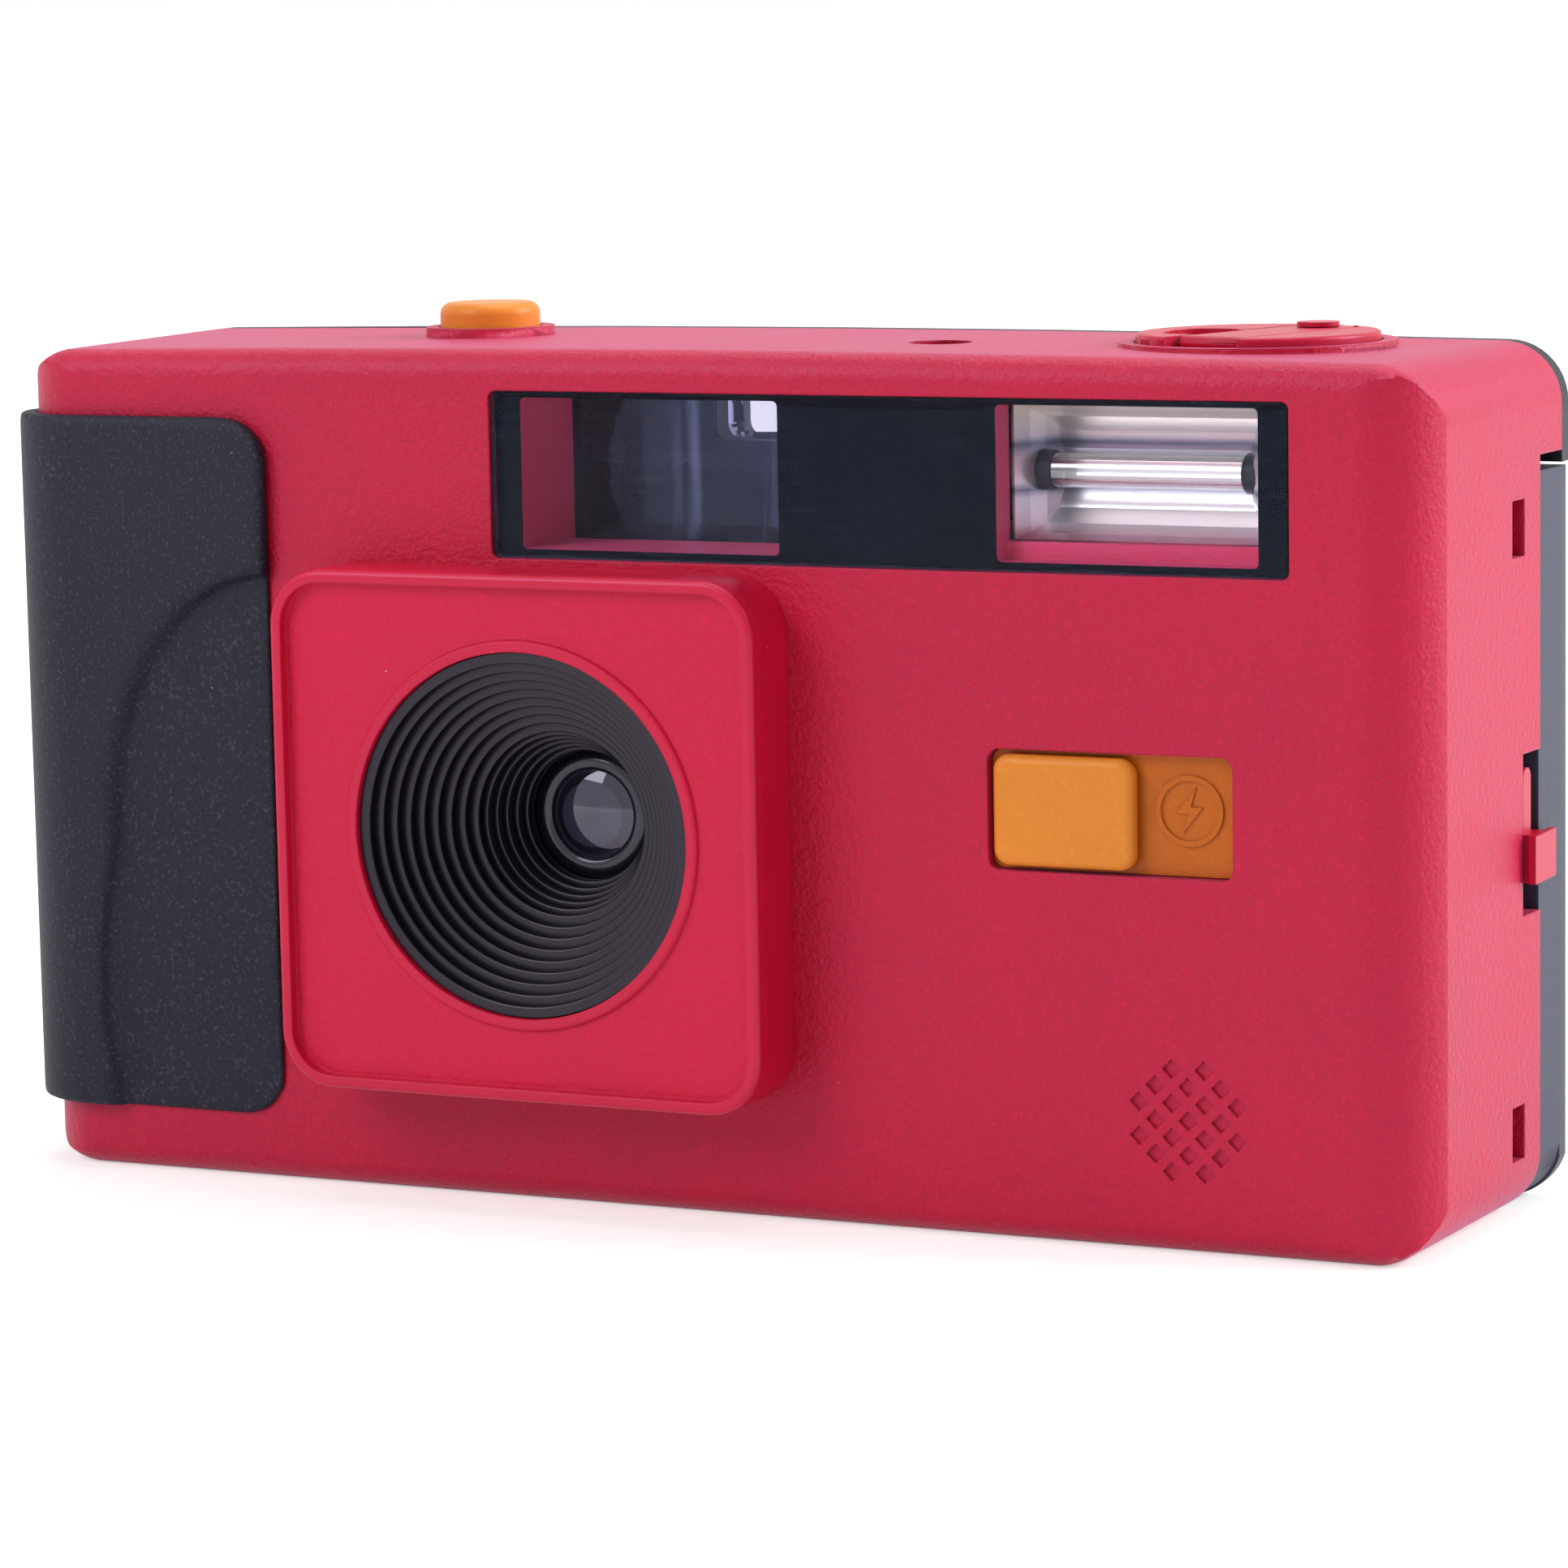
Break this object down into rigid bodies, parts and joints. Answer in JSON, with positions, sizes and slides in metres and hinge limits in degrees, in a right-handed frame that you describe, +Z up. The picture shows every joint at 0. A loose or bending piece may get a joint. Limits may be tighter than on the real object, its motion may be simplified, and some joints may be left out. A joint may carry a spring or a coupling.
{
  "type": "film camera",
  "caption": "Compact 35 mm point-and-shoot film camera with square lens surround, flash and finder window, rewind crank, rear thumbwheel and hinged back.",
  "frame": {"origin": "centre of the bounding box at the flat foot of the camera", "axes": "+X to the right as seen from the front, -Y towards the subject, +Z up"},
  "size_m": [0.1178, 0.0366, 0.0663],
  "materials": {
    "casing_red": "fine spark-eroded texture",
    "frame_black": "matt moulded",
    "door_slate": "fine texture",
    "grip_dark": "fine matt texture",
    "control_orange": "satin",
    "clear_plate": "clear, polished",
    "lens_glass": "coated",
    "mask_print": "printed black",
    "reflector_silver": "bright, faceted",
    "xenon_glass": "clear tube",
    "steel_part": "plated",
    "spring_steel": "bright strip",
    "board_green": "solder-masked",
    "capacitor_sleeve": "shrunk sleeve",
    "copper_core": "wound core",
    "blade_black": "thin matt sheet",
    "dial_white": "satin",
    "foam_black": "foam pile"
  },
  "bodies": {
    "camera_body": {"front_shell": "casing_red", "lens_bezel": "casing_red", "bezel_screws": "steel_part", "baffle_cone": "frame_black", "lens_retainer": "frame_black", "front_lens": "lens_glass", "lens_barrel": "frame_black", "aperture_plate": "blade_black", "rear_lens": "lens_glass", "window_panel": "clear_plate", "window_mask": "mask_print", "viewfinder_front_lens": "lens_glass", "viewfinder_tunnel": "frame_black", "viewfinder_eyepiece": "lens_glass", "flash_reflector": "reflector_silver", "flash_tube": "xenon_glass", "flash_tube_caps": "steel_part", "flash_board": "board_green", "flash_capacitor": "capacitor_sleeve", "flash_transformer": "copper_core", "battery_sleeve": "frame_black", "battery_contact_top": "spring_steel", "switch_bed": "control_orange", "button_leaf_spring": "spring_steel", "grip_cover": "grip_dark", "chassis": "frame_black", "case_screws": "steel_part", "door_hinge_pin": "steel_part"},
    "shutter_release": {"shutter_button": "control_orange", "release_bar": "frame_black"},
    "shutter": {"shutter_blade": "blade_black"},
    "flash_switch": {"flash_switch_knob": "control_orange"},
    "rewind_tube": {"rewind_bush": "frame_black"},
    "rewind_dial": {"rewind_disc": "casing_red", "rewind_fork": "frame_black", "crank_hinge_pin": "steel_part"},
    "rewind_crank": {"crank_lever": "casing_red"},
    "rewind_knob": {"crank_knob": "casing_red"},
    "advance_wheel": {"thumbwheel": "frame_black"},
    "film_spool": {"take_up_spool": "frame_black"},
    "film_sprocket": {"sprocket_shaft": "frame_black"},
    "counter_dial": {"frame_counter_dial": "dial_white"},
    "film_door": {"back_door": "door_slate", "pressure_plate": "blade_black", "pressure_plate_spring": "spring_steel", "door_light_seal": "foam_black", "film_check_window": "clear_plate"},
    "door_latch": {"latch_slide": "casing_red"},
    "cell_door": {"battery_door": "casing_red", "battery_door_contact": "spring_steel"},
    "rewind_release": {"rewind_release_button": "frame_black"}
  },
  "joints": [
    {"name": "shutter_button_press", "type": "slide", "parent": "camera_body", "child": "shutter_release", "axis": [0, 0, -1], "range_m": [0, 0.0012], "stiffness_N_per_m": 1000, "springref_m": -0.0006, "deforming": ["button_leaf_spring"]},
    {"name": "shutter_blade_swing", "type": "hinge", "parent": "camera_body", "child": "shutter", "pos_m": [-0.0204, -0.00172, 0.0345], "axis": [0, -1, 0], "range_deg": [0, 25]},
    {"name": "flash_switch_slide", "type": "slide", "parent": "camera_body", "child": "flash_switch", "axis": [1, 0, 0], "range_m": [0, 0.007]},
    {"name": "rewind_lift", "type": "slide", "parent": "camera_body", "child": "rewind_tube", "axis": [0, 0, 1], "range_m": [0, 0.007]},
    {"name": "rewind_spin", "type": "hinge", "parent": "rewind_tube", "child": "rewind_dial", "pos_m": [0.0388, 0.00417, 0.063], "axis": [0, 0, 1], "continuous": true},
    {"name": "crank_fold", "type": "hinge", "parent": "rewind_dial", "child": "rewind_crank", "pos_m": [0.0379, -0.00243, 0.06403], "axis": [0.9527, -0.3039, 0], "range_deg": [0, 150]},
    {"name": "crank_knob_spin", "type": "hinge", "parent": "rewind_crank", "child": "rewind_knob", "pos_m": [0.0416, 0.00918, 0.06458], "axis": [0, 0, 1], "continuous": true},
    {"name": "thumbwheel_spin", "type": "hinge", "parent": "camera_body", "child": "advance_wheel", "pos_m": [-0.0373, 0.00773, 0.0576], "axis": [0, 0, 1], "continuous": true},
    {"name": "take_up_spool_spin", "type": "hinge", "parent": "camera_body", "child": "film_spool", "pos_m": [-0.045, 0.00198, 0.03], "axis": [0, 0, 1], "continuous": true},
    {"name": "sprocket_spin", "type": "hinge", "parent": "camera_body", "child": "film_sprocket", "pos_m": [0.0182, 0.00692, 0.03], "axis": [0, 0, 1], "continuous": true},
    {"name": "frame_counter_spin", "type": "hinge", "parent": "camera_body", "child": "counter_dial", "pos_m": [0.0118, 0.00317, 0.0608], "axis": [0, 0, 1], "continuous": true},
    {"name": "back_door_swing", "type": "hinge", "parent": "camera_body", "child": "film_door", "pos_m": [-0.0562, 0.01468, 0.028], "axis": [0, 0, 1], "range_deg": [0, 95]},
    {"name": "latch_pull", "type": "slide", "parent": "camera_body", "child": "door_latch", "axis": [0, 0, -1], "range_m": [0, 0.0022]},
    {"name": "battery_door_swing", "type": "hinge", "parent": "camera_body", "child": "cell_door", "pos_m": [0.0128, 0.00252, 0.0009], "axis": [1, 0, 0], "range_deg": [0, 95]},
    {"name": "rewind_release_press", "type": "slide", "parent": "camera_body", "child": "rewind_release", "axis": [0, 0, 1], "range_m": [0, 0.0008], "stiffness_N_per_m": 500, "springref_m": -0.0005}
  ],
  "couplings": [
    {"joint": "shutter_blade_swing", "follows": "shutter_button_press", "rad_per_m": 360},
    {"joint": "take_up_spool_spin", "follows": "thumbwheel_spin", "ratio": -1},
    {"joint": "frame_counter_spin", "follows": "sprocket_spin", "ratio": -0.025}
  ]
}
